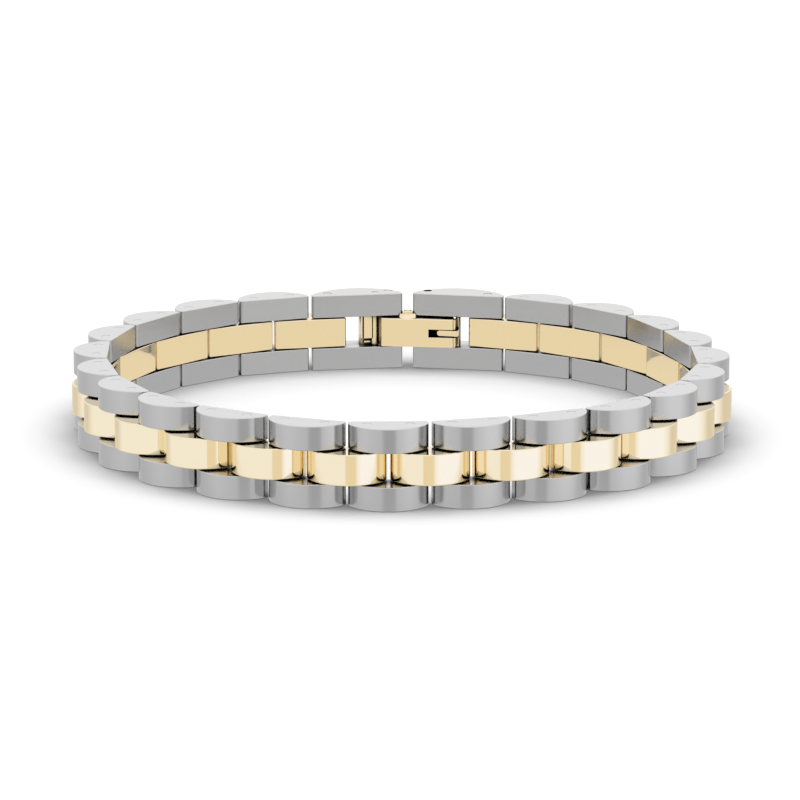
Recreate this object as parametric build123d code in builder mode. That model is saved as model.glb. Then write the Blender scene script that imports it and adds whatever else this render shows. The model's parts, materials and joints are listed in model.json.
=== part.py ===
"""Link watch bracelet, closed in a loop and standing on its edge.

The loop is a chain of D-shaped links, flat towards the wrist and crowned outside. Side links
stand in pairs, one below and one above the centre row. Centre links bridge neighbouring pairs,
half a pitch along. Every link turns on upright pins. At the back the chain ends in two longer
pairs, joined by a folding lever.

The chain is followed counter-clockwise, seen from above: from the left clasp pair round the
front to the right clasp pair. The wrist is on the left hand of the direction of travel.
The origin is under the middle of the loop, on the surface that the bracelet stands on.
"""

from build123d import *
import os
from math import atan2, copysign, cos, degrees, hypot, radians, sin

os.makedirs("parts", exist_ok=True)

# Chain, in millimetres
pitch = 9.15                    # from one side-link pair to the next, laid straight
side_gap = 0.56                 # between the ends of neighbouring side links, laid straight
centre_gap = 0.52               # between the ends of neighbouring centre links, laid straight
side_depth = 4.0                # side link, inner face to crown
centre_depth = 4.2              # centre link, inner face to crown
pin_depth = 1.3                 # inner faces to the pins' axes
straight_end = 1.0              # flat end of a link, before its crown starts
side_height = 2.68
centre_height = 3.42
side_clearance = 0.135          # between a centre link and the side link above or below it
inner_corner = 0.3              # upright corners of a link at its inner face
crown_corner = 0.2              # upright corners where a crown starts
edge_break = 0.08               # chamfer round the side links' flat faces
polished_edge = 0.12            # rounding round the centre links' flat faces

# Pins
pin_radius = 0.5
running_clearance = 0.05        # radial, pin in a bore that turns on it
press_gap = 0.01                # radial, pin in a side link that holds it
pin_recess = 0.03               # pin ends below the side links' faces
pin_chamfer = 0.06

# Clasp
clasp_link_length = 10.85
clasp_gap = 1.15                # between the inner corners of the two clasp pairs
clasp_bend = 20.0               # degrees between the two clasp pairs when closed
hinge_window = 1.9              # between the first centre link and the hinge block
catch_window = 1.25             # between the catch plate and the last centre link
hinge_pin_radius = 0.35
barrel_radius = 0.6
barrel_clearance = 0.12         # round the barrel, to the hinge block

lever_turn = 16.0               # degrees from the left clasp pair to the lever when closed
lever_start = 0.88              # hinge axis to the lever body
lever_inner = 1.65              # hinge axis to the lever's inner face
lever_depth = 4.95
lever_straight_end = 0.85
web_thickness = 0.6             # web from the barrel to the lever body

slot_length = 3.0
slot_width = 0.97
tongue_width = 0.68
tongue_length = 2.05
tongue_thickness = 0.6
tongue_stand = 0.25             # tongue's outer face, inwards from the side links' inner faces
catch_thickness = 0.4
catch_depth = 1.1
catch_recess = 0.3              # catch plate's inner edge, outwards from the side links' inner faces
catch_gap = 0.02                # from the lever's end to the catch plate

tab_width = 0.95
tab_height = 0.6                # above the lever's upper face
tab_recess = 0.2                # tab's inner end, outwards from the side links' inner faces
tab_depth = 1.0
tab_bevel = 0.12
ramp_width = 1.3                # low ramp that the thumb slides up, in front of the tab
ramp_offset = 0.27              # its middle, towards the left clasp pair
ramp_height = 0.4               # above the lever's upper face
ramp_top = 0.25                 # its highest line, inwards from the side links' inner faces
ramp_foot = 1.1                 # its foot, inwards from the side links' inner faces
ramp_sink = 0.5                 # its foot, below the lever's upper face

block_length = 1.95             # hinge block, along the chain
block_overhang = 0.2            # past the hinge axis, outside the barrel
block_recess = 0.7              # its inner face, outwards from the side links' inner faces
block_depth = 2.5
block_corner = 0.5
block_step_depth = 0.5
block_step_height = 0.9

snap_run_share = 0.4662         # of the way from a clasp link's gap end to the hinge axis
snap_depth = 1.9                # inner face to the snap pins' axes
snap_recess = 0.35              # the right upper snap pin sits deeper than the others

overrun = 1.0                   # how far a cut runs past what it cuts

# How much each side-link pair turns from the one before it, as a share of an even turn, from
# the front pair towards the clasp. A bracelet stood on its edge is never a perfect ring.
right_turn_shares = (0.9, 0.6, 1.1, 1.1, 0.9, 1.2, 1.0, 0.5, 1.3, 1.0)
left_turn_shares = (1.4, 0.7, 1.1, 1.0, 0.9, 0.7, 1.1, 1.1, 1.0, 1.3)
last_turn_share = 1.0           # at the last centre link of each arm
search_share = 0.2              # the even turn is looked for within this share of a ring's turn
search_steps = 60

# Worked out from these
hinge_spacing = pitch / 2
side_length = pitch - side_gap
centre_length = pitch - centre_gap
channel = centre_height + 2 * side_clearance
overall_height = 2 * side_height + channel
mid_height = overall_height / 2
centre_base = side_height + side_clearance
upper_base = side_height + channel
end_reach = (side_length - hinge_spacing) / 2
clasp_pin_run = clasp_link_length - end_reach
last_centre_run = clasp_pin_run - (centre_length - hinge_spacing) / 2
hinge_run = last_centre_run - hinge_window - block_length + block_overhang
catch_run = last_centre_run - catch_window - catch_thickness
snap_run = snap_run_share * hinge_run
pin_length = overall_height - 2 * pin_recess
pair_count = 1 + len(left_turn_shares) + len(right_turn_shares)


class Spot:
    """A place on the plan with a heading in degrees. Inward is to the left of the heading."""

    def __init__(self, x, y, heading):
        self.x = x
        self.y = y
        self.heading = heading

    def moved(self, along=0.0, inward=0.0, turn=0.0):
        course = radians(self.heading)
        x = self.x + along * cos(course) - inward * sin(course)
        y = self.y + along * sin(course) + inward * cos(course)
        return Spot(x, y, self.heading + turn)

    def plane(self, height):
        course = radians(self.heading)
        x_dir = (cos(course), sin(course), 0)
        return Plane(origin=(self.x, self.y, height), x_dir=x_dir, z_dir=(0, 0, 1))

    def upright_plane(self, height):
        """Its X runs along the heading, its Y runs up and its normal points outwards."""
        course = radians(self.heading)
        x_dir = (cos(course), sin(course), 0)
        return Plane(origin=(self.x, self.y, height), x_dir=x_dir, z_dir=(sin(course), -cos(course), 0))

    def side_plane(self, height):
        """Its X runs inwards, its Y runs up and its normal points along the heading."""
        course = radians(self.heading)
        x_dir = (-sin(course), cos(course), 0)
        return Plane(origin=(self.x, self.y, height), x_dir=x_dir, z_dir=(cos(course), sin(course), 0))


def walk_arm(front, shares, way, even_turn):
    """Middles of the links from the front pair to the clasp: centre, pair, centre and so on."""
    step = way * hinge_spacing / 2
    spot = front
    links = []
    for share in (*shares, last_turn_share):
        bend = way * share * even_turn / 2
        centre = spot.moved(along=step, turn=bend).moved(along=step)
        spot = centre.moved(along=step, turn=bend).moved(along=step)
        links += [centre, spot]
    return links[:-1]


def walk_chain(front, even_turn):
    """Middles of all links between the clasp pairs, in the order of travel."""
    left_arm = walk_arm(front, left_turn_shares, -1, even_turn)
    right_arm = walk_arm(front, right_turn_shares, 1, even_turn)
    return left_arm[::-1] + [front] + right_arm


def chain_ends(chain):
    """The pins where the chain meets the left and the right clasp pair."""
    left_pin = chain[0].moved(along=-hinge_spacing / 2)
    right_pin = chain[-1].moved(along=hinge_spacing / 2)
    return left_pin, right_pin


class Clasp:
    """Places of the closed clasp, from the middle of its gap at the inner faces."""

    def __init__(self, middle):
        self.middle = middle
        self.right_end = middle.moved(along=-clasp_gap / 2, turn=-clasp_bend / 2)
        self.left_end = middle.moved(along=clasp_gap / 2, turn=clasp_bend / 2)
        self.right_pin = self.right_end.moved(along=-clasp_pin_run, inward=-pin_depth)
        self.left_pin = self.left_end.moved(along=clasp_pin_run, inward=-pin_depth)
        self.hinge = self.left_end.moved(along=hinge_run, inward=-pin_depth)
        self.lever = self.hinge.moved(turn=-lever_turn)
        self.lever_length = self.reach_to_catch()

    def reach_to_catch(self):
        """Length of the lever body that leaves the catch gap before the catch plate."""
        course = radians(self.right_end.heading)
        start = self.lever.moved(along=-lever_start, inward=lever_inner)
        across = (start.x - self.right_end.x) * cos(course) + (start.y - self.right_end.y) * sin(course)
        return (across + catch_run - catch_gap) / cos(radians(self.lever.heading - self.right_end.heading))


def closing_error(even_turn):
    """How much further apart the chain's ends are than the clasp's two chain pins."""
    left_pin, right_pin = chain_ends(walk_chain(Spot(0, 0, 0), even_turn))
    model = Clasp(Spot(0, 0, 0))
    across = right_pin.x - left_pin.x
    apart = copysign(hypot(across, right_pin.y - left_pin.y), across)
    return apart - (model.left_pin.x - model.right_pin.x)


def closed_turn():
    """The even turn at which the chain's ends meet the clasp, found by halving."""
    ring_turn = 360 / (pair_count + 2)
    low = ring_turn * (1 - search_share)
    high = ring_turn * (1 + search_share)
    for _ in range(search_steps):
        middle = (low + high) / 2
        if closing_error(middle) > 0:
            low = middle
        else:
            high = middle
    return (low + high) / 2


def place_clasp(chain):
    left_pin, right_pin = chain_ends(chain)
    heading = degrees(atan2(left_pin.y - right_pin.y, left_pin.x - right_pin.x))
    between = Spot((left_pin.x + right_pin.x) / 2, (left_pin.y + right_pin.y) / 2, heading)
    return Clasp(between.moved(inward=-Clasp(Spot(0, 0, 0)).left_pin.y))


def crown_radius(length, depth, flat):
    rise = depth - flat
    return (length ** 2 / 4 + rise ** 2) / (2 * rise)


def plan_middle(chain, clasp):
    """Middle of the loop's outline: the crowns reach furthest on every side."""
    half = clasp_link_length / 2
    left_link = clasp.left_end.moved(along=half, inward=-pin_depth)
    right_link = clasp.right_end.moved(along=-half, inward=-pin_depth)
    crowns = [(spot, centre_length, centre_depth) for spot in chain[0::2]]
    crowns += [(spot, side_length, side_depth) for spot in chain[1::2]]
    crowns += [(spot, clasp_link_length, side_depth) for spot in (left_link, right_link)]
    low_x, high_x, low_y, high_y = [], [], [], []
    for spot, length, depth in crowns:
        radius = crown_radius(length, depth, straight_end)
        centre = spot.moved(inward=pin_depth - depth + radius)
        low_x.append(centre.x - radius)
        high_x.append(centre.x + radius)
        low_y.append(centre.y - radius)
        high_y.append(centre.y + radius)
    return (min(low_x) + max(high_x)) / 2, (min(low_y) + max(high_y)) / 2


even_turn = closed_turn()
first_chain = walk_chain(Spot(0, 0, 0), even_turn)
middle_x, middle_y = plan_middle(first_chain, place_clasp(first_chain))
chain = walk_chain(Spot(-middle_x, -middle_y, 0), even_turn)
clasp = place_clasp(chain)


def link_outline(length, depth, inner, flat):
    """D shape on the plan: X along the chain, Y inwards, the inner face at Y = inner."""
    half = length / 2
    with BuildSketch() as outline:
        with BuildLine():
            Polyline((half, inner - flat), (half, inner), (-half, inner), (-half, inner - flat))
            ThreePointArc((-half, inner - flat), (0, inner - depth), (half, inner - flat))
        make_face()
        fillet(outline.vertices().group_by(Axis.Y)[0], crown_corner)
        fillet(outline.vertices().group_by(Axis.Y)[-1], inner_corner)
    return outline.sketch


def write_part(finished, name):
    finished.label = name
    export_step(finished, f"parts/{name}.step")


def make_side_link_pair(spot, name):
    """A lower and an upper side link, with the two link pins that are pressed into both."""
    pin_places = [(-hinge_spacing / 2, 0), (hinge_spacing / 2, 0)]
    with BuildPart() as pair:
        for base in (0, upper_base):
            with BuildSketch(spot.plane(base)):
                add(link_outline(side_length, side_depth, pin_depth, straight_end))
            extrude(amount=side_height)
        chamfer(pair.faces().filter_by(Axis.Z).edges(), edge_break)
        with BuildSketch(spot.plane(0)):
            with Locations(*pin_places):
                Circle(pin_radius + press_gap)
        extrude(amount=overall_height, mode=Mode.SUBTRACT)
        with BuildSketch(spot.plane(pin_recess)):
            with Locations(*pin_places):
                Circle(pin_radius)
        extrude(amount=pin_length)
        chamfer(pair.edges(Select.LAST).filter_by(GeomType.CIRCLE), pin_chamfer)
    write_part(pair.part, name)


def make_centre_link(spot, name):
    with BuildPart() as centre_link:
        with BuildSketch(spot.plane(centre_base)):
            add(link_outline(centre_length, centre_depth, pin_depth, straight_end))
        extrude(amount=centre_height)
        fillet(centre_link.faces().filter_by(Axis.Z).edges(), polished_edge)
        with BuildSketch(spot.plane(centre_base)):
            with Locations((-hinge_spacing / 2, 0), (hinge_spacing / 2, 0)):
                Circle(pin_radius + running_clearance)
        extrude(amount=centre_height, mode=Mode.SUBTRACT)
    write_part(centre_link.part, name)


def make_clasp_side_link(gap_end, way, base, name):
    """A long side link. Way is 1 where it runs on from the gap and -1 where it leads to it."""
    spot = gap_end.moved(along=way * clasp_link_length / 2, inward=-pin_depth)
    with BuildPart() as side_link:
        with BuildSketch(spot.plane(base)):
            add(link_outline(clasp_link_length, side_depth, pin_depth, straight_end))
        extrude(amount=side_height)
        chamfer(side_link.faces().filter_by(Axis.Z).edges(), edge_break)
        with BuildSketch(gap_end.plane(base)):
            with Locations((way * clasp_pin_run, -pin_depth), (way * snap_run, -snap_depth)):
                Circle(pin_radius + press_gap)
            if way > 0:
                with Locations((hinge_run, -pin_depth)):
                    Circle(hinge_pin_radius + press_gap)
        extrude(amount=side_height, mode=Mode.SUBTRACT)
    write_part(side_link.part, name)


def make_upright_pin(spot, radius, name):
    with BuildPart() as pin:
        with BuildSketch(spot.plane(pin_recess)):
            Circle(radius)
        extrude(amount=pin_length)
        chamfer(pin.edges().filter_by(GeomType.CIRCLE), pin_chamfer)
    write_part(pin.part, name)


def make_snap_pins(gap_end, way, upper_recess, name):
    """Short pins in the lower and upper side link, flush with the channel that they close."""
    spot = gap_end.moved(along=way * snap_run, inward=-snap_depth)
    with BuildPart() as snap_pins:
        with BuildSketch(spot.plane(pin_recess)):
            Circle(pin_radius)
        extrude(amount=side_height - pin_recess)
        with BuildSketch(spot.plane(upper_base)):
            Circle(pin_radius)
        extrude(amount=side_height - upper_recess)
        chamfer(snap_pins.edges().filter_by(GeomType.CIRCLE), pin_chamfer)
    write_part(snap_pins.part, name)


def make_hinge_block():
    """Bridges the left clasp links beside the lever's barrel, and stands back from the wrist."""
    inner = pin_depth - block_recess
    spot = clasp.hinge.moved(along=block_length / 2 - block_overhang, inward=inner - block_depth / 2)
    step_spot = clasp.hinge.moved(along=block_length - block_overhang, inward=inner)
    with BuildPart() as hinge_block:
        with BuildSketch(spot.plane(side_height)) as footprint:
            Rectangle(block_length, block_depth)
            fillet(footprint.vertices().group_by(Axis.Y)[0], block_corner)
        extrude(amount=channel)
        with BuildSketch(clasp.hinge.plane(side_height)):
            Circle(barrel_radius + barrel_clearance)
        extrude(amount=channel, mode=Mode.SUBTRACT)
        with BuildSketch(step_spot.plane(side_height)):
            Rectangle(2 * block_length, 2 * block_step_depth)
        extrude(amount=block_step_height, mode=Mode.SUBTRACT)
    write_part(hinge_block.part, "hinge_block")


def make_lever():
    """Looks like a centre link from outside. It swings inwards on its barrel."""
    lever_length = clasp.lever_length
    body = clasp.lever.moved(along=-lever_start - lever_length / 2)
    web_length = lever_start + barrel_radius
    slot_spot = body.moved(along=-lever_length / 2 - overrun, inward=lever_inner + overrun)
    tab_spot = clasp.middle.moved(inward=-tab_recess - tab_depth / 2)
    ramp_spot = clasp.middle.moved(along=ramp_offset - ramp_width / 2)
    lever_top = centre_base + centre_height
    with BuildPart() as lever:
        with BuildSketch(body.plane(centre_base)):
            add(link_outline(lever_length, lever_depth, lever_inner, lever_straight_end))
        extrude(amount=centre_height)
        fillet(lever.faces().filter_by(Axis.Z).edges(), polished_edge)
        with BuildSketch(clasp.lever.moved(along=-web_length / 2).plane(centre_base)):
            Rectangle(web_length, web_thickness)
        extrude(amount=centre_height)
        with BuildSketch(clasp.lever.plane(centre_base)):
            Circle(barrel_radius)
        extrude(amount=centre_height)
        with BuildSketch(clasp.lever.plane(centre_base)):
            Circle(hinge_pin_radius + running_clearance)
        extrude(amount=centre_height, mode=Mode.SUBTRACT)
        with BuildSketch(slot_spot.upright_plane(mid_height)):
            Rectangle(slot_length + overrun, slot_width, align=(Align.MIN, Align.CENTER))
        extrude(amount=lever_depth + 2 * overrun, mode=Mode.SUBTRACT)
        with BuildSketch(tab_spot.plane(mid_height)):
            Rectangle(tab_width, tab_depth)
        extrude(amount=lever_top + tab_height - mid_height)
        chamfer(lever.faces().sort_by(Axis.Z)[-1].edges(), tab_bevel)
        with BuildSketch(ramp_spot.side_plane(lever_top)):
            Polygon((ramp_foot, -ramp_sink), (ramp_top, ramp_height), (ramp_top, -ramp_sink), align=None)
        extrude(amount=ramp_width)
    write_part(lever.part, "lever")


def make_catch():
    """A plate across the right clasp links' channel, with the tongue that lies in the slot."""
    outer_half = -catch_recess - catch_depth / 2
    plate = clasp.right_end.moved(along=-catch_run - catch_thickness / 2, inward=outer_half)
    tongue_base = catch_run + catch_thickness
    tongue_inner = tongue_stand + tongue_thickness
    neck_depth = tongue_inner + catch_recess + catch_depth / 2
    neck = clasp.right_end.moved(along=-catch_run - catch_thickness / 2, inward=tongue_inner - neck_depth / 2)
    tongue = clasp.right_end.moved(along=-tongue_base, inward=tongue_inner)
    with BuildPart() as catch:
        with BuildSketch(plate.plane(side_height)):
            Rectangle(catch_thickness, catch_depth)
        extrude(amount=channel)
        with BuildSketch(neck.plane(mid_height - tongue_width / 2)):
            Rectangle(catch_thickness, neck_depth)
        extrude(amount=tongue_width)
        with BuildSketch(tongue.upright_plane(mid_height)):
            with Locations(((tongue_length + catch_thickness) / 2, 0)):
                SlotOverall(tongue_length + catch_thickness, tongue_width)
        extrude(amount=tongue_thickness)
    write_part(catch.part, "catch")


for index, spot in enumerate(chain):
    number = index // 2 + 1
    if index % 2:
        make_side_link_pair(spot, f"side_link_pair_{number:02d}")
    else:
        make_centre_link(spot, f"centre_link_{number:02d}")

for level, base in (("lower", 0), ("upper", upper_base)):
    make_clasp_side_link(clasp.left_end, 1, base, f"left_{level}_clasp_link")
    make_clasp_side_link(clasp.right_end, -1, base, f"right_{level}_clasp_link")

make_upright_pin(clasp.left_pin, pin_radius, "left_link_pin")
make_upright_pin(clasp.right_pin, pin_radius, "right_link_pin")
make_upright_pin(clasp.hinge, hinge_pin_radius, "lever_hinge_pin")
make_snap_pins(clasp.left_end, 1, pin_recess, "left_snap_pins")
make_snap_pins(clasp.right_end, -1, snap_recess, "right_snap_pins")
make_hinge_block()
make_lever()
make_catch()
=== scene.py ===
"""Looks of the link watch bracelet: satin steel side links and polished pale gold centre links."""

import json
import math

import bmesh
import bpy
from mathutils import Matrix, Vector

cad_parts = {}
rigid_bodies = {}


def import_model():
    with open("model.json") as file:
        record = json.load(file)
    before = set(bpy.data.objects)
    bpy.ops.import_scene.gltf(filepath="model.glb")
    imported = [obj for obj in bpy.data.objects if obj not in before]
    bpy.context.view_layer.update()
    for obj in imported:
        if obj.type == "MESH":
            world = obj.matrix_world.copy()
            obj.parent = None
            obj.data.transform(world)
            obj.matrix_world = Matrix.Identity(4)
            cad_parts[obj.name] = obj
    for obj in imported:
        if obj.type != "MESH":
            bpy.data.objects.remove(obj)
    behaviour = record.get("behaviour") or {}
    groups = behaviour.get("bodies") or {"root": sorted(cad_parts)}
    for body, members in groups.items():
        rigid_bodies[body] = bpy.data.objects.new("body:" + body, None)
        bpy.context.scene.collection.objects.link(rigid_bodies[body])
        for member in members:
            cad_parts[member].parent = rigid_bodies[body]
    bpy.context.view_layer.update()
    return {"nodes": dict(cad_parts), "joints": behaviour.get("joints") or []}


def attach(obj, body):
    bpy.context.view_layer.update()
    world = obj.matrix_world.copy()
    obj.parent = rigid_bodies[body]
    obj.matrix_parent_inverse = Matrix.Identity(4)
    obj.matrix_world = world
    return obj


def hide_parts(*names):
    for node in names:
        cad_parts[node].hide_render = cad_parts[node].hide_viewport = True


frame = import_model()
scene = bpy.context.scene
MM = 0.001

# Camera, fitted to the corners of the links
ELEVATION = math.radians(13.085)
AZIMUTH = math.radians(1.466)
FOCAL_PX, FRAME_PX = 5370.0, 800.0
SENSOR_MM = 36.0
FRONT = Vector((-2.200, -33.850, 0.0))           # the front pair's place on the plan, in mm
CAMERA_FROM_FRONT = Vector((-13.006, -556.49, 141.04))

cam_data = bpy.data.cameras.new("photo_camera")
cam_data.sensor_width = SENSOR_MM
cam_data.lens = SENSOR_MM * FOCAL_PX / FRAME_PX
cam_data.clip_start = 0.01
cam_data.clip_end = 20.0
cam = bpy.data.objects.new("photo_camera", cam_data)
scene.collection.objects.link(cam)
cam.location = (FRONT + CAMERA_FROM_FRONT) * MM
cam.rotation_euler = (math.radians(90) - ELEVATION, 0.0, -AZIMUTH)
scene.camera = cam
scene.view_settings.view_transform = "Standard"

# Sizes of the links in mm, as in the solids
HINGE = 4.575                                    # from pin to pin
SIDE_LEN, SIDE_DEPTH = 8.59, 4.0
CENTRE_LEN, CENTRE_DEPTH = 8.63, 4.2
PIN_DEPTH = 1.3                                  # from pin axis to inner face
FLAT_END = 1.0                                   # straight part of a link's end, before the crown
SIDE_H, CENTRE_H, CLEAR = 2.68, 3.42, 0.135
CENTRE_Z = SIDE_H + CLEAR
UPPER_Z = SIDE_H + CENTRE_H + 2 * CLEAR
TOTAL_H = UPPER_Z + SIDE_H
MID_Z = TOTAL_H / 2
PIN_R, HINGE_PIN_R = 0.5, 0.35
PIN_FIT, BORE_FIT = 0.01, 0.05                   # room round a pin, in a side link and in a centre link

# Roundings of the links, in mm, and their steps
CORNER, CORNER_STEPS = 0.32, 6                   # inner corners
KINK, KINK_STEPS = 0.22, 3                       # edges between the flat ends and the crown
CROWN_STEPS, CLASP_CROWN_STEPS = 40, 48
ROUND_STEPS = 28                                 # round a pin or a hole
SIDE_RIM, RIM_STEPS = 0.09, 3
CENTRE_RIM, CENTRE_RIM_STEPS = 0.13, 4
PIN_RIM, PIN_RIM_STEPS = 0.015, 2
PIN_SET = 0.012                                  # how deep the pin ends lie

# Sizes of the clasp in mm, as in the solids
CLASP_LEN = 10.85
CLASP_TURN = math.radians(10)                    # from the line between the chain pins to each clasp pair
LEVER_TURN = math.radians(16)                    # from the left clasp pair to the lever
LEVER_LEN, LEVER_DEPTH, LEVER_FLAT = 8.7246, 4.95, 0.85
LEVER_START, LEVER_INNER = 0.88, 1.65            # from the hinge axis to the lever's end and inner face
LEVER_TOP = CENTRE_Z + CENTRE_H
HINGE_WINDOW, BLOCK_LEN, BLOCK_OVERHANG = 1.9, 1.95, 0.2
SNAP_SHARE = 0.136                               # snap pins from the gap, as a share of the clasp link
SNAP_DEPTH = 1.9                                 # and below its inner face
END_REACH = (SIDE_LEN - HINGE) / 2               # from a chain pin to the link's end
CLASP_RUN = CLASP_LEN - END_REACH                # from a chain pin to the gap
SNAP_RUN = SNAP_SHARE * CLASP_LEN                # from the gap
HINGE_RUN = CLASP_RUN - (CENTRE_LEN - HINGE) / 2 - HINGE_WINDOW - BLOCK_LEN + BLOCK_OVERHANG

# Small clasp pieces in mm. A plan is x0, x1, y0, y1 and the radius of its corners.
TAB_ROOT = 0.1                                   # below the lever's upper face; the tops are above it
TAB_BACK, TAB_BACK_TOP, TAB_BACK_RIM = (-0.62, 0.62, -0.05, 0.25, 0.1), 0.68, 0.07
TAB_FRONT, TAB_FRONT_TOP, TAB_FRONT_RIM = (-0.47, 0.47, -0.3, 0.0, 0.05), 0.6, 0.04
LEDGE, LEDGE_RIM = (0.62, 1.38, 0.05, 0.46, 0.04), 0.03
LEDGE_LOW, LEDGE_HIGH = 0.36, 0.58               # above the lower side links
LEVER_RIMS, LEVER_RIMS_RIM = (-5.31, -5.10, -0.18, 0.92, 0.03), 0.03
LEVER_RIMS_INSET, SLOT_HALF = 0.05, 0.52         # from the lever's faces and from its mid height
GROOVE, GROOVE_RIM = (1.40, 1.57, 0.25, 0.9, 0.02), 0.01
GROOVE_OVERRUN = 0.3                             # past the hinge block's faces
CLOSER_ARC, CLOSER_STEPS = (190, 249), 16        # degrees round the circle of the lever's crown
CLOSER_SKIN, CLOSER_THICK = 0.02, 0.4            # below the crown
CLOSER_ROOT, CLOSER_FLARE = 0.25, 0.1            # past the lever's end, and sideways there
CLOSER_SLANT = 0.7                               # of the normals at the root's corners
CLOSER_HALF_H, CLOSER_RIM = 0.43, 0.02

AO_SAMPLES, BEVEL_SAMPLES = 16, 6


# Shader helpers
def new_material(name):
    m = bpy.data.materials.new(name)
    m.use_nodes = True
    tree = m.node_tree
    tree.nodes.clear()
    return m, tree, shader(tree, "OutputMaterial")


def shader(tree, kind, **plain):
    """A shader node with its plain settings."""
    made = tree.nodes.new("ShaderNode" + kind)
    for key, value in plain.items():
        setattr(made, key, value)
    return made


def combine(tree, operation, a, b):
    """A math node on a socket and a number, or on two sockets."""
    made = shader(tree, "Math", operation=operation)
    tree.links.new(a, made.inputs[0])
    if isinstance(b, float):
        made.inputs[1].default_value = b
    else:
        tree.links.new(b, made.inputs[1])
    return made.outputs[0]


def is_zero(tree, count):
    """1 where a whole number from a socket is zero, else 0."""
    return combine(tree, "LESS_THAN", count, 0.5)


def map_range(tree, value, from_min, from_max, to_min=0.0, to_max=1.0, kind="LINEAR"):
    made = shader(tree, "MapRange", interpolation_type=kind)
    made.inputs["From Min"].default_value = from_min
    made.inputs["From Max"].default_value = from_max
    made.inputs["To Min"].default_value = to_min
    made.inputs["To Max"].default_value = to_max
    tree.links.new(value, made.inputs["Value"])
    return made.outputs[0]


def scaled(tree, color, factor):
    """A colour, plain or from a socket, times a factor from a socket."""
    made = shader(tree, "VectorMath", operation="SCALE")
    if isinstance(color, tuple):
        made.inputs[0].default_value = color
    else:
        tree.links.new(color, made.inputs[0])
    tree.links.new(factor, made.inputs["Scale"])
    return made.outputs[0]


def color_mix(tree, factor, a, b):
    """From the socket a to the plain colour b."""
    made = shader(tree, "Mix", data_type="RGBA")
    tree.links.new(factor, made.inputs["Factor"])
    tree.links.new(a, made.inputs["A"])
    made.inputs["B"].default_value = (*b, 1)
    return made.outputs["Result"]


def noise(tree, vector, scale, detail):
    made = shader(tree, "TexNoise")
    made.inputs["Scale"].default_value = scale
    made.inputs["Detail"].default_value = detail
    tree.links.new(vector, made.inputs["Vector"])
    return made.outputs["Fac"]


def openness(tree, reach):
    """How open a point is within a reach in metres: 0 in a crevice, 1 in the open."""
    made = shader(tree, "AmbientOcclusion", samples=AO_SAMPLES)
    made.inputs["Distance"].default_value = reach
    return made.outputs["AO"]


def sum_of_shaders(tree, a, b):
    made = shader(tree, "AddShader")
    tree.links.new(a.outputs[0], made.inputs[0])
    tree.links.new(b.outputs[0], made.inputs[1])
    return made


# Metals
FINE_DETAIL, FINE_SPAN = 3.0, (0.3, 0.7)         # the spans are where the noise mostly lies
BROAD_SCALE, BROAD_DETAIL = 260.0, 2.0
SUM_SPAN = (0.6, 1.4)
ROUGH_SWING = 0.01
GRAIN_TURN = 0.25


def metal(name, color, rough, grain, bump, tone, crevice, anis=0.0, axis_scale=(1, 1, 1), edge=0.0):
    """A metal whose grain runs along the axis with the smallest scale, with painted shade in its
    crevices: its colour and its specular tint are darkened there.

    A crevice shade is its reach in metres, where it is dark, where it is clear, and how dark the painted
    shade gets."""
    m, tree, out = new_material(name)
    link = tree.links.new
    bsdf = shader(tree, "BsdfPrincipled")
    bsdf.inputs["Metallic"].default_value = 1.0
    where = shader(tree, "TexCoord").outputs["Object"]
    stretch = shader(tree, "Mapping")
    stretch.inputs["Scale"].default_value = axis_scale
    link(where, stretch.inputs["Vector"])
    fine = noise(tree, stretch.outputs["Vector"], grain, FINE_DETAIL)
    broad = noise(tree, where, BROAD_SCALE, BROAD_DETAIL)
    # the tone swings a little with the grain and with the broad cloud
    cloud = combine(tree, "ADD", fine, broad)
    swing = map_range(tree, cloud, *SUM_SPAN, 1.0 - tone, 1.0 + tone * 0.5)
    # painted shade: the colour and the specular tint are darkened in the crevices between the links,
    # where shade falls
    reach, dark_at, clear_at, dark = crevice
    light = map_range(tree, openness(tree, reach), dark_at, clear_at, dark, kind="SMOOTHSTEP")
    link(scaled(tree, scaled(tree, color, swing), light), bsdf.inputs["Base Color"])
    link(light, bsdf.inputs["Specular Tint"])
    uneven = map_range(tree, fine, *FINE_SPAN, rough - ROUGH_SWING, rough + ROUGH_SWING)
    link(uneven, bsdf.inputs["Roughness"])
    if anis:
        bsdf.inputs["Anisotropic"].default_value = anis
        bsdf.inputs["Anisotropic Rotation"].default_value = GRAIN_TURN
        tangent = shader(tree, "Tangent", direction_type="RADIAL", axis="Z")
        link(tangent.outputs[0], bsdf.inputs["Tangent"])
    relief = shader(tree, "Bump")
    relief.inputs["Strength"].default_value = 1.0
    relief.inputs["Distance"].default_value = bump
    link(fine, relief.inputs["Height"])
    if edge:
        bevel = shader(tree, "Bevel", samples=BEVEL_SAMPLES)
        bevel.inputs["Radius"].default_value = edge
        link(bevel.outputs[0], relief.inputs["Normal"])
    link(relief.outputs[0], bsdf.inputs["Normal"])
    link(bsdf.outputs[0], out.inputs["Surface"])
    return m


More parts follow.
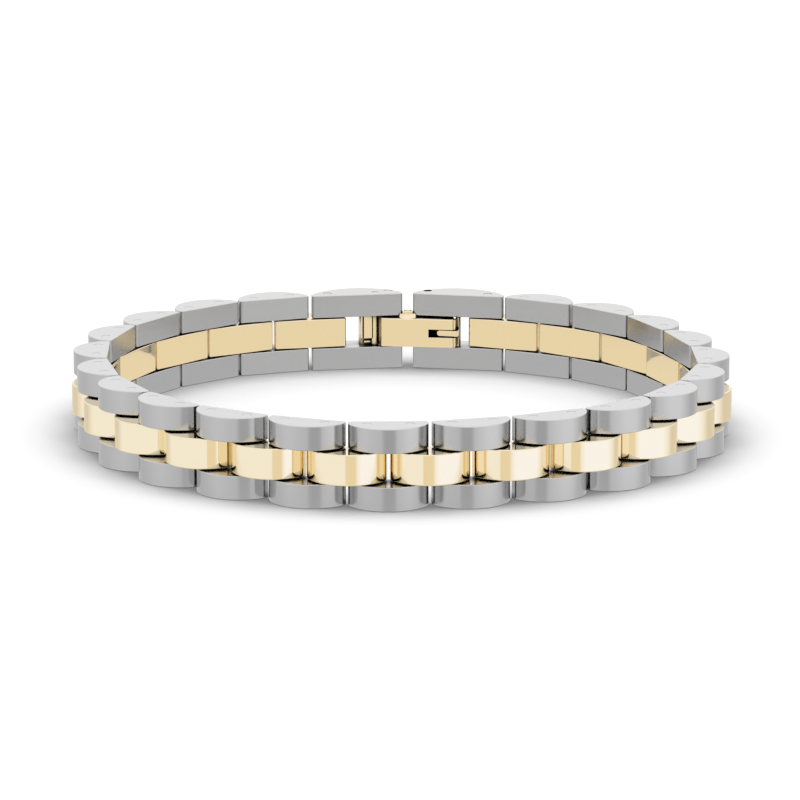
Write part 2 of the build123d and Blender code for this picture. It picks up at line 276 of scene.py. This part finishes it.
STEEL = (0.60, 0.60, 0.60)
GOLD = (0.93, 0.80, 0.55)
ALONG_CHAIN = (0.05, 1, 1)
STEEL_BUMP, STEEL_TONE = 3.0e-8, 0.02
GOLD_BUMP, GOLD_TONE = 1.5e-8, 0.012
# painted shade in each metal's crevices: reach in metres, where dark, where clear, how dark
SIDE_CREVICE_SHADE = (0.0008, 0.12, 0.50, 0.03)
CAP_CREVICE_SHADE = (0.0026, 0.06, 0.78, 0.32)
LINK_CREVICE_SHADE = (0.0008, 0.03, 0.36, 0.03)
CLASP_CREVICE_SHADE = (0.0022, 0.38, 0.74, 0.015)
steel_side = metal("steel_satin", STEEL, rough=0.19, grain=9000.0, bump=STEEL_BUMP, tone=STEEL_TONE,
                   crevice=SIDE_CREVICE_SHADE, axis_scale=ALONG_CHAIN, anis=0.5)
steel_cap = metal("steel_cap", STEEL, rough=0.22, grain=9000.0, bump=STEEL_BUMP, tone=STEEL_TONE,
                  crevice=CAP_CREVICE_SHADE, axis_scale=ALONG_CHAIN)
steel_pin = metal("steel_pin", STEEL, rough=0.22, grain=6000.0, bump=STEEL_BUMP, tone=STEEL_TONE,
                  crevice=CAP_CREVICE_SHADE)
gold_side = metal("gold_polished", GOLD, rough=0.05, grain=3000.0, bump=GOLD_BUMP, tone=GOLD_TONE,
                  crevice=LINK_CREVICE_SHADE)
gold_cad = metal("gold_polished_clasp", GOLD, rough=0.06, grain=3000.0, bump=GOLD_BUMP, tone=GOLD_TONE,
                 crevice=CLASP_CREVICE_SHADE, edge=0.00006)


# Outlines and meshes of the pieces
def arc(cx, cy, r, a0, a1, n):
    """Points and outward normals along an arc, angles in degrees."""
    out = []
    for i in range(n + 1):
        a = math.radians(a0 + (a1 - a0) * i / n)
        out.append(((cx + r * math.cos(a), cy + r * math.sin(a)), (math.cos(a), math.sin(a))))
    return out


def crown_radius(half, rise):
    """Radius of the crown that spans half a link to both sides and rises so far in its middle."""
    return (half * half + rise * rise) / (2 * rise)


def outline(length, depth, crown_steps=CROWN_STEPS):
    """D shape in mm, counter-clockwise: the inner face at PIN_DEPTH, the crown's top depth below it."""
    half = length / 2
    big = crown_radius(half, depth - FLAT_END)
    cy = PIN_DEPTH - depth + big
    fx = half - KINK
    fy = cy - math.sqrt((big - KINK) ** 2 - fx * fx)
    ang = math.degrees(math.atan2(fy - cy, fx))      # negative: below the circle's middle
    pts = arc(half - CORNER, PIN_DEPTH - CORNER, CORNER, 0, 90, CORNER_STEPS)
    pts += arc(-half + CORNER, PIN_DEPTH - CORNER, CORNER, 90, 180, CORNER_STEPS)
    pts += arc(-fx, fy, KINK, 180, 180 - ang, KINK_STEPS)
    pts += arc(0, cy, big, 180 - ang, 360 + ang, crown_steps)[1:-1]
    pts += arc(fx, fy, KINK, 360 + ang, 360, KINK_STEPS)
    return pts


def rounded_box(x0, x1, y0, y1, r, steps=4):
    """A rectangle's outline with round corners, counter-clockwise."""
    pts = []
    corners = ((x1 - r, y1 - r, 0), (x0 + r, y1 - r, 90), (x0 + r, y0 + r, 180), (x1 - r, y0 + r, 270))
    for cx, cy, start in corners:
        pts += arc(cx, cy, r, start, start + 90, steps)
    return pts


class Shape:
    """Collects vertices with their own normals, faces and material slots, in mm."""

    def __init__(self):
        self.v, self.n, self.f, self.m = [], [], [], []

    def vert(self, co, no):
        self.v.append(co)
        self.n.append(no)
        return len(self.v) - 1

    def face(self, ids, mat):
        self.f.append(ids)
        self.m.append(mat)

    def strip(self, a, b, mat):
        """Faces between two closed loops."""
        k = len(a)
        for i in range(k):
            j = (i + 1) % k
            self.face((a[i], a[j], b[j], b[i]), mat)

    def ring(self, pts, inset, z, nz):
        """The outline drawn in by the inset, with normals that rise by nz."""
        level = math.sqrt(max(0.0, 1 - nz * nz))
        ids = []
        for (x, y), (nx, ny) in pts:
            ids.append(self.vert((x - nx * inset, y - ny * inset, z), (nx * level, ny * level, nz)))
        return ids

    def cap(self, outer, holes, z, up, mat):
        """A flat face with round holes: outer is a list of plan points, holes a list of (x, y, r)."""
        bm = bmesh.new()
        turns = [2 * math.pi * i / ROUND_STEPS for i in range(ROUND_STEPS)]
        loops = [outer]
        for x, y, r in holes:
            loops.append([(x + r * math.cos(t), y + r * math.sin(t)) for t in turns])
        for loop in loops:
            vs = [bm.verts.new((x, y, 0)) for x, y in loop]
            for i in range(len(vs)):
                bm.edges.new((vs[i], vs[(i + 1) % len(vs)]))
        bmesh.ops.triangle_fill(bm, use_beauty=True, use_dissolve=False, edges=bm.edges[:],
                                normal=(0, 0, 1))
        bm.verts.index_update()
        base = [self.vert((v.co.x, v.co.y, z), (0, 0, 1 if up else -1)) for v in bm.verts]
        for f in bm.faces:
            ids = [base[v.index] for v in f.verts]
            if (f.normal.z > 0) != up:
                ids.reverse()
            self.face(tuple(ids), mat)
        bm.free()

    def hole_wall(self, x, y, r, z0, z1, mat):
        rings = []
        for z in (z0, z1):
            ids = []
            for i in range(ROUND_STEPS):
                t = 2 * math.pi * i / ROUND_STEPS
                c, s = math.cos(t), math.sin(t)
                ids.append(self.vert((x + r * c, y + r * s, z), (-c, -s, 0)))
            rings.append(ids)
        self.strip(rings[1], rings[0], mat)

    def block(self, pts, z0, z1, rim, side_mat=0, cap_mat=0, holes=(), steps=RIM_STEPS):
        """The outline pulled up from z0 to z1 with rounded rims and holes through both flat faces."""
        low, high = [], []
        for i in range(steps + 1):
            t = math.radians(90 * i / steps)
            inset = rim * (1 - math.cos(t))
            low.append(self.ring(pts, inset, z0 + rim - rim * math.sin(t), -math.sin(t)))
            high.append(self.ring(pts, inset, z1 - rim + rim * math.sin(t), math.sin(t)))
        self.strip(low[0], high[0], side_mat)
        for a, b in zip(high, high[1:]):
            self.strip(a, b, side_mat)
        for a, b in zip(low, low[1:]):
            self.strip(b, a, side_mat)
        flat = [(x - nx * rim, y - ny * rim) for (x, y), (nx, ny) in pts]
        self.cap(flat, holes, z1, True, cap_mat)
        self.cap(flat, holes, z0, False, cap_mat)
        for x, y, r in holes:
            self.hole_wall(x, y, r, z0, z1, cap_mat)

    def pin(self, x, y, r, z0, z1, mat):
        pts = arc(x, y, r, 0, 360, ROUND_STEPS)[:-1]
        self.block(pts, z0, z1, PIN_RIM, mat, mat, steps=PIN_RIM_STEPS)

    def mesh(self, name, mats):
        me = bpy.data.meshes.new(name)
        me.from_pydata([(x * MM, y * MM, z * MM) for x, y, z in self.v], [], self.f)
        for m in mats:
            me.materials.append(m)
        me.polygons.foreach_set("material_index", self.m)
        me.polygons.foreach_set("use_smooth", [True] * len(self.f))
        me.update()
        me.normals_split_custom_set_from_vertices([Vector(n).normalized() for n in self.n])
        return me


def side_pair_mesh():
    """Two side links and the two pins that they hold."""
    s = Shape()
    pts = outline(SIDE_LEN, SIDE_DEPTH)
    side, cap, pin = 0, 1, 2
    holes = [(-HINGE / 2, 0, PIN_R + PIN_FIT), (HINGE / 2, 0, PIN_R + PIN_FIT)]
    for z in (0.0, UPPER_Z):
        s.block(pts, z, z + SIDE_H, SIDE_RIM, side, cap, holes)
    for x, y, _ in holes:
        s.pin(x, y, PIN_R, PIN_SET, TOTAL_H - PIN_SET, pin)
    return s.mesh("side_link_pair", [steel_side, steel_cap, steel_pin])


def centre_mesh():
    s = Shape()
    pts = outline(CENTRE_LEN, CENTRE_DEPTH)
    holes = [(-HINGE / 2, 0, PIN_R + BORE_FIT), (HINGE / 2, 0, PIN_R + BORE_FIT)]
    s.block(pts, CENTRE_Z, CENTRE_Z + CENTRE_H, CENTRE_RIM, holes=holes, steps=CENTRE_RIM_STEPS)
    return s.mesh("centre_link", [gold_side])


def clasp_link_mesh(name, holes):
    """A clasp side link: the side links' profile, longer."""
    s = Shape()
    side, cap = 0, 1
    s.block(outline(CLASP_LEN, SIDE_DEPTH, CLASP_CROWN_STEPS), 0.0, SIDE_H, SIDE_RIM, side, cap, holes)
    return s.mesh(name, [steel_side, steel_cap])


def thumb_rest_mesh():
    """A smooth ridge along the lever's upper edge: full in the middle, run out to both sides."""
    half, crest_y, reach, rise, sink = 1.0, 0.22, 0.92, 0.42, 0.03
    fullness, steps, tiny = 1.7, 28, 0.001
    s = Shape()
    rows = []
    base = LEVER_TOP - sink
    for i in range(steps + 1):
        t = -math.cos(math.pi * i / steps)
        w = math.sqrt(max(0.0, 1 - t * t))
        top = rise * min(1.0, fullness * math.sqrt(max(0.0, 1 - t ** 4)))
        crest = base + sink + top
        foot_y = crest_y + reach * w
        slope = tuple(Vector((0, top, foot_y - crest_y + tiny)).normalized())
        x = half * t
        rows.append([s.vert((x, crest_y, base), (0, -1, 0)),
                     s.vert((x, crest_y, crest), (0, -1, 0)),
                     s.vert((x, crest_y, crest), slope),
                     s.vert((x, foot_y, base + sink / 2), slope),
                     s.vert((x, foot_y, base), (0, 0, -1)),
                     s.vert((x, crest_y, base), (0, 0, -1))])
    for a, b in zip(rows, rows[1:]):
        for k in (0, 2, 4):
            s.face((a[k], b[k], b[k + 1], a[k + 1]), 0)
        s.face((a[3], b[3], b[4], a[4]), 0)
    return s.mesh("thumb_rest", [gold_cad])


def tab_face_mesh():
    """The thumb tab's stepped face."""
    s = Shape()
    root = LEVER_TOP - TAB_ROOT
    s.block(rounded_box(*TAB_BACK), root, LEVER_TOP + TAB_BACK_TOP, TAB_BACK_RIM)
    s.block(rounded_box(*TAB_FRONT), root, LEVER_TOP + TAB_FRONT_TOP, TAB_FRONT_RIM)
    return s.mesh("tab_face", [gold_cad])


def ledge_mesh():
    """The ledge at the foot of the hinge block."""
    s = Shape()
    s.block(rounded_box(*LEDGE), SIDE_H + LEDGE_LOW, SIDE_H + LEDGE_HIGH, LEDGE_RIM)
    return s.mesh("block_ledge", [gold_cad])


def lever_rims_mesh():
    """Two thin rims on the lever's free end, above and below its slot."""
    s = Shape()
    pts = rounded_box(*LEVER_RIMS)
    s.block(pts, CENTRE_Z + LEVER_RIMS_INSET, MID_Z - SLOT_HALF, LEVER_RIMS_RIM)
    s.block(pts, MID_Z + SLOT_HALF, LEVER_TOP - LEVER_RIMS_INSET, LEVER_RIMS_RIM)
    return s.mesh("lever_rims", [gold_cad])


def slot_closer_mesh():
    """An arm from the catch plate that closes the lever's slot where it cuts the crown; it shows dark
    there through the painted crevice shade of its material.
    """
    s = Shape()
    half = LEVER_LEN / 2
    big = crown_radius(half, LEVER_DEPTH - LEVER_FLAT)
    cx, cy = -LEVER_START - half, LEVER_INNER - LEVER_DEPTH + big
    outer = arc(cx, cy, big - CLOSER_SKIN, *CLOSER_ARC, CLOSER_STEPS)
    under = arc(cx, cy, big - CLOSER_THICK, *CLOSER_ARC, CLOSER_STEPS)
    inner = [(p, (-n[0], -n[1])) for p, n in reversed(under)]
    tip = math.radians(CLOSER_ARC[1])
    across = (-math.sin(tip), math.cos(tip))
    pts = outer + [(outer[-1][0], across), (inner[0][0], across)] + inner
    root = -LEVER_START - LEVER_LEN - CLOSER_ROOT
    pts.append(((root, inner[-1][0][1] + CLOSER_FLARE), (-CLOSER_SLANT, CLOSER_SLANT)))
    pts.append(((root, outer[0][0][1] - CLOSER_FLARE), (-CLOSER_SLANT, -CLOSER_SLANT)))
    s.block(pts, MID_Z - CLOSER_HALF_H, MID_Z + CLOSER_HALF_H, CLOSER_RIM)
    return s.mesh("slot_closer", [gold_cad])


# Placing the pieces
def standing(at, heading, z=0.0):
    """The matrix of a place on the plan, with local x along the heading and y inwards."""
    return Matrix.Translation((at.x * MM, at.y * MM, z * MM)) @ Matrix.Rotation(heading, 4, "Z")


def fit(name, mesh, at, heading, body, z=0.0):
    """Stand a mesh at a place on the plan and let it ride on a body."""
    o = bpy.data.objects.new(name, mesh)
    scene.collection.objects.link(o)
    o.matrix_world = standing(at, heading, z)
    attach(o, body)
    return o


def place(name, mesh, at, heading, body, node, z=0.0):
    """The same, instead of a solid."""
    o = fit(name, mesh, at, heading, body, z)
    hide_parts(node)


def moved(at, heading, along, inward):
    """The plan point that lies so far along a heading and to its left."""
    c, s = math.cos(heading), math.sin(heading)
    return Vector((at.x + along * c - inward * s, at.y + along * s + inward * c))


# Where the links are follows from the joints between them
order = ["left_clasp"]
for i in range(1, 22):
    order += [f"centre_{i:02d}", f"pair_{i:02d}"]
order += ["centre_22", "right_clasp"]
between = {frozenset((j["parent"], j["child"])): Vector(j["pos_m"]) / MM for j in frame["joints"]}
pins = [between[frozenset(pair)] for pair in zip(order, order[1:])]

pair_me, centre_me = side_pair_mesh(), centre_mesh()
for body, a, b in zip(order[1:-1], pins, pins[1:]):
    mid = (a + b) / 2
    heading = math.atan2(b.y - a.y, b.x - a.x)
    number = body[-2:]
    if body.startswith("pair"):
        place("side_links_" + number, pair_me, mid, heading, body, "side_link_pair_" + number)
    else:
        place("centre_piece_" + number, centre_me, mid, heading, body, "centre_link_" + number)

left_pin, right_pin = pins[0], pins[-1]
axis = math.atan2(left_pin.y - right_pin.y, left_pin.x - right_pin.x)
left_heading, right_heading = axis + CLASP_TURN, axis - CLASP_TURN
clasp_pairs = (("left", left_pin, left_heading, 1), ("right", right_pin, right_heading, -1))
for side, pin, heading, way in clasp_pairs:
    # local x runs with the chain: the chain pin is at +x on the left link and at -x on the right one
    pin_x = way * (CLASP_LEN / 2 - END_REACH)
    gap_x = -way * CLASP_LEN / 2
    snap_x = gap_x + way * SNAP_RUN
    holes = [(pin_x, 0, PIN_R + PIN_FIT), (snap_x, PIN_DEPTH - SNAP_DEPTH, PIN_R + PIN_FIT)]
    if side == "left":
        holes.append((gap_x + HINGE_RUN, 0, HINGE_PIN_R + PIN_FIT))
    me = clasp_link_mesh(side + "_clasp_link", holes)
    at = moved(pin, heading, -pin_x, 0)
    for level, z in (("lower", 0.0), ("upper", UPPER_Z)):
        stem = f"{side}_{level}_clasp_"
        place(stem + "piece", me, at, heading, side + "_clasp", stem + "link", z)

left_end = moved(left_pin, left_heading, -CLASP_RUN, PIN_DEPTH)
right_end = moved(right_pin, right_heading, CLASP_RUN, PIN_DEPTH)
middle = (left_end + right_end) / 2
hinge = moved(left_end, left_heading, HINGE_RUN, -PIN_DEPTH)
fit("slot_closer", slot_closer_mesh(), hinge, left_heading - LEVER_TURN, "right_clasp")
fit("lever_rims", lever_rims_mesh(), right_end, right_heading, "lever")
fit("thumb_rest", thumb_rest_mesh(), middle, axis, "lever")
fit("tab_face", tab_face_mesh(), middle, axis, "lever")
fit("hinge_block_ledge", ledge_mesh(), hinge, left_heading, "left_clasp")


def carve_block():
    """The hinge block with the groove that parts its rim from its face."""
    cutter = Shape()
    low, high = SIDE_H - GROOVE_OVERRUN, UPPER_Z + GROOVE_OVERRUN
    cutter.block(rounded_box(*GROOVE), low, high, GROOVE_RIM, steps=1)
    tool = bpy.data.objects.new("groove", cutter.mesh("groove", [gold_cad]))
    scene.collection.objects.link(tool)
    tool.matrix_world = standing(hinge, left_heading)
    o = bpy.data.objects.new("hinge_block_grooved", frame["nodes"]["hinge_block"].data.copy())
    scene.collection.objects.link(o)
    cut = o.modifiers.new("groove", "BOOLEAN")
    cut.operation = "DIFFERENCE"
    cut.solver = "EXACT"
    cut.object = tool
    bpy.context.view_layer.update()
    done = bpy.data.meshes.new_from_object(o.evaluated_get(bpy.context.evaluated_depsgraph_get()))
    o.modifiers.clear()
    o.data = done
    done.materials.clear()
    done.materials.append(gold_cad)
    bpy.data.objects.remove(tool)
    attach(o, "left_clasp")
    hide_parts("hinge_block")


carve_block()

# The solids that show themselves
for name, solid in frame["nodes"].items():
    if name in ("lever", "hinge_block", "catch"):
        solid.data.materials.clear()
        solid.data.materials.append(gold_cad)
    elif name.endswith(("_pin", "_pins")):
        solid.data.materials.clear()
        solid.data.materials.append(steel_pin)

# Floor
FLOOR_SIZE, FLOOR_Z = 6.0, -0.00001              # in metres
FLOOR_TONE, FLOOR_LIFT = 0.93, 0.22
CONTACT_REACH, CONTACT_FROM, CONTACT_DARK = 0.005, 0.3, 0.55


def make_floor():
    """A white floor that keeps the object's shadow."""
    half = FLOOR_SIZE / 2
    me = bpy.data.meshes.new("floor")
    corners = [(-half, -half), (half, -half), (half, half), (-half, half)]
    me.from_pydata([(x, y, FLOOR_Z) for x, y in corners], [], [(0, 1, 2, 3)])
    o = bpy.data.objects.new("floor", me)
    scene.collection.objects.link(o)
    m, tree, out = new_material("floor_white")
    # the shadow under the links is deeper and ends sooner than plain light makes it
    contact = map_range(tree, openness(tree, CONTACT_REACH), CONTACT_FROM, 1.0, CONTACT_DARK)
    diffuse = shader(tree, "BsdfDiffuse")
    tree.links.new(combine(tree, "MULTIPLY", contact, FLOOR_TONE), diffuse.inputs["Color"])
    # the camera sees the floor a little brighter, so that it is white
    seen = shader(tree, "LightPath").outputs["Is Camera Ray"]
    lift = shader(tree, "Emission")
    tree.links.new(combine(tree, "MULTIPLY", seen, FLOOR_LIFT), lift.inputs["Strength"])
    tree.links.new(contact, lift.inputs["Color"])
    tree.links.new(sum_of_shaders(tree, diffuse, lift).outputs[0], out.inputs["Surface"])
    me.materials.append(m)
    o.visible_glossy = False
    return o


floor = make_floor()

# Cards round the set
CARD_STEPS = 120
CARD_HALF_H = 1.4                                # this and the next three are shares of the cards' radius
TOP_END, LOW_START, LOW_END = 0.16, -0.15, -0.21


def card_mesh(name, radius):
    """A closed upright cylinder whose faces look inwards."""
    z0, z1 = -CARD_HALF_H * radius, CARD_HALF_H * radius
    k = CARD_STEPS
    vs = []
    for i in range(k):
        a = 2 * math.pi * i / k
        vs += [(radius * math.cos(a), radius * math.sin(a), z) for z in (z0, z1)]
    vs += [(0, 0, z0), (0, 0, z1)]
    steps = [(i, (i + 1) % k) for i in range(k)]
    fs = [(2 * i, 2 * i + 1, 2 * j + 1, 2 * j) for i, j in steps]
    for i, j in steps:
        fs += [(2 * k, 2 * i, 2 * j), (2 * k + 1, 2 * j + 1, 2 * i + 1)]
    me = bpy.data.meshes.new(name)
    me.from_pydata(vs, [], fs)
    return me


def surround(name, members, radius, stops, color_top, color_low):
    """Soft cards round the set, seen only in one metal's reflections. Stops: (degrees, colour)."""
    o = bpy.data.objects.new(name, card_mesh(name, radius))
    scene.collection.objects.link(o)
    m, tree, out = new_material(name)
    geometry = shader(tree, "NewGeometry")
    at = shader(tree, "SeparateXYZ")
    tree.links.new(geometry.outputs["Position"], at.inputs[0])
    # angle from -Y towards +X, as 0..1 over -180..180 degrees
    back = combine(tree, "MULTIPLY", at.outputs["Y"], -1.0)
    angle = combine(tree, "ARCTAN2", at.outputs["X"], back)
    turn = map_range(tree, angle, -math.pi, math.pi)
    ramp = shader(tree, "ValToRGB")
    elements = ramp.color_ramp.elements
    ramp.color_ramp.interpolation = "LINEAR"
    while len(elements) > 1:
        elements.remove(elements[-1])
    for number, (degrees, color) in enumerate(stops):
        position = (degrees + 180.0) / 360.0
        if number == 0:
            stop = elements[0]
            stop.position = position
        else:
            stop = elements.new(position)
        stop.color = (*color, 1)
    tree.links.new(turn, ramp.inputs[0])
    # by height: the cards, a white ceiling above them and a plain floor below
    height = at.outputs["Z"]
    up = map_range(tree, height, 0.0, TOP_END * radius, kind="SMOOTHSTEP")
    low = map_range(tree, height, LOW_START * radius, LOW_END * radius, kind="SMOOTHSTEP")
    color = color_mix(tree, low, color_mix(tree, up, ramp.outputs["Color"], color_top), color_low)
    # the floor doesn't see the cards by way of the metal, so that its shadow stays
    direct = is_zero(tree, shader(tree, "LightPath").outputs["Diffuse Depth"])
    # the cards shine inwards only, so a ray that starts outside them meets their light once
    inside = is_zero(tree, geometry.outputs["Backfacing"])
    glow = shader(tree, "Emission")
    tree.links.new(color, glow.inputs["Color"])
    tree.links.new(combine(tree, "MULTIPLY", direct, inside), glow.inputs["Strength"])
    clear = shader(tree, "BsdfTransparent")
    tree.links.new(sum_of_shaders(tree, glow, clear).outputs[0], out.inputs["Surface"])
    m.cycles.emission_sampling = "NONE"
    o.data.materials.append(m)
    o.visible_camera = False
    o.visible_diffuse = False
    o.visible_shadow = False
    o.visible_transmission = False
    o.visible_volume_scatter = False
    receivers = bpy.data.collections.new(name + "_receivers")
    for member in members:
        receivers.objects.link(member)
    o.light_linking.receiver_collection = receivers


# the set as the steel sees it: a soft white sheet on each side and a dark card at the front
STEEL_STOPS = [(-180, 0.70), (-100, 0.72), (-52, 0.87), (-14, 0.75), (-8, 0.52), (9, 0.52),
               (15, 0.80), (42, 1.0), (64, 1.0), (92, 0.63), (128, 0.70)]
STEEL_TOP, STEEL_LOW = (1.08, 1.08, 1.08), (0.66, 0.66, 0.66)
# and as the gold sees it: a cool window on the right, an amber card at the front
DUSK = (0.76, 0.73, 0.68)
SHEET = (0.97, 1.0, 1.10)
AMBER = (0.87, 0.80, 0.67)
WINDOW = (1.03, 1.12, 1.42)
GOLD_STOPS = [(-180, DUSK), (-112, DUSK), (-90, SHEET), (-11, SHEET), (-8.5, AMBER), (8, AMBER),
              (12, SHEET), (20, WINDOW), (66, WINDOW), (78, SHEET), (94, DUSK)]
GOLD_TOP, GOLD_LOW = (1.0, 1.0, 1.05), (0.87, 0.81, 0.70)
STEEL_CARDS_R, GOLD_CARDS_R = 0.10, 0.1004       # in metres, and not equal, so that no ray misses one

golds, steels = [], []
for o in list(scene.objects):
    if o.type == "MESH" and o is not floor:
        names = [slot.material.name for slot in o.material_slots if slot.material]
        (golds if any(name.startswith("gold") for name in names) else steels).append(o)
steel_stops = [(degrees, (v, v, v)) for degrees, v in STEEL_STOPS]
surround("cards_steel", steels, STEEL_CARDS_R, steel_stops, STEEL_TOP, STEEL_LOW)
surround("cards_gold", golds, GOLD_CARDS_R, GOLD_STOPS, GOLD_TOP, GOLD_LOW)

# World
world = bpy.data.worlds.new("studio")
scene.world = world
world.use_nodes = True
sky = world.node_tree
sky.nodes.clear()
background = shader(sky, "Background")
background.inputs["Color"].default_value = (1, 1, 1, 1)
# a ray that already went through the cards gets nothing more from the world
fresh = is_zero(sky, shader(sky, "LightPath").outputs["Transparent Depth"])
sky.links.new(fresh, background.inputs["Strength"])
sky.links.new(background.outputs[0], shader(sky, "OutputWorld").inputs["Surface"])
